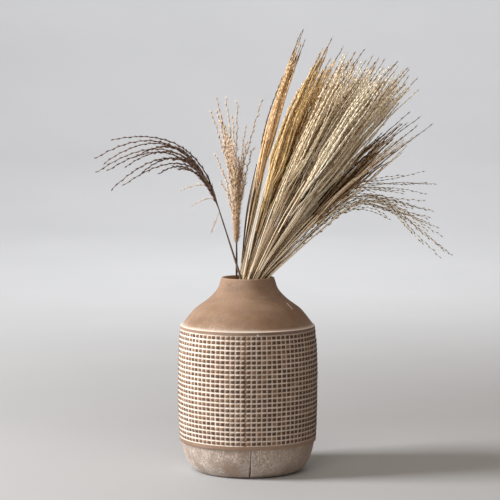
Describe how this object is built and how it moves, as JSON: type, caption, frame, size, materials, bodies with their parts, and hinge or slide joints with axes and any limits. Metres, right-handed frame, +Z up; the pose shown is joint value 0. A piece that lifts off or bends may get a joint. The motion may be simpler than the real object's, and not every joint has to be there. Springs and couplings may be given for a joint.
{
  "type": "flower vase",
  "caption": "Round fired-clay flower vase with a raised grid band, a whitewashed base and a narrow neck, filled with dried plume grass that lifts out.",
  "frame": {"origin": "centre of the vase's flat underside, on the surface it stands on", "axes": "+Z up along the vase's axis, +X to the right seen from the front, -Y towards the viewer"},
  "size_m": [0.5357, 0.2174, 0.6744],
  "materials": {
    "clay": "matte",
    "purple": "matte",
    "blush": "matte",
    "tan": "matte",
    "ochre": "matte",
    "straw": "matte",
    "cream": "matte",
    "brown": "matte",
    "drooping": "matte"
  },
  "bodies": {
    "vase": {"vase_body": "clay"},
    "arching_stem": {"arching_stem": "purple"},
    "upright_stem": {"upright_stem": "blush"},
    "grass_bunch": {"tan_stem_1": "tan", "tan_stem_2": "tan", "tan_stem_3": "tan", "tan_stem_4": "tan", "ochre_stem_1": "ochre", "ochre_stem_2": "ochre", "ochre_stem_3": "ochre", "ochre_stem_4": "ochre", "ochre_stem_5": "ochre", "straw_stem_1": "straw", "straw_stem_2": "straw", "straw_stem_3": "straw", "straw_stem_4": "straw", "straw_stem_5": "straw", "straw_stem_6": "straw", "cream_stem_1": "cream", "cream_stem_2": "cream", "cream_stem_3": "cream", "cream_stem_4": "cream", "cream_stem_5": "cream", "cream_stem_6": "cream", "cream_stem_7": "cream", "straw_stem_7": "straw", "straw_stem_8": "straw", "straw_stem_9": "straw", "straw_stem_10": "straw", "straw_stem_11": "straw", "straw_stem_12": "straw", "brown_stem_1": "brown", "brown_stem_2": "brown", "brown_stem_3": "brown", "brown_stem_4": "brown", "brown_stem_5": "brown", "drooping_stem_1": "drooping", "drooping_stem_2": "drooping", "drooping_stem_3": "drooping", "drooping_stem_4": "drooping"}
  },
  "joints": [
    {"name": "arching_stem_lift", "type": "slide", "parent": "vase", "child": "arching_stem", "axis": [-0.304, 0, 0.9527], "range_m": [0, 0.3]},
    {"name": "upright_stem_lift", "type": "slide", "parent": "vase", "child": "upright_stem", "axis": [0, 0, 1], "range_m": [0, 0.3]},
    {"name": "grass_bunch_lift", "type": "slide", "parent": "vase", "child": "grass_bunch", "axis": [0.1564, 0, 0.9877], "range_m": [0, 0.3]}
  ]
}
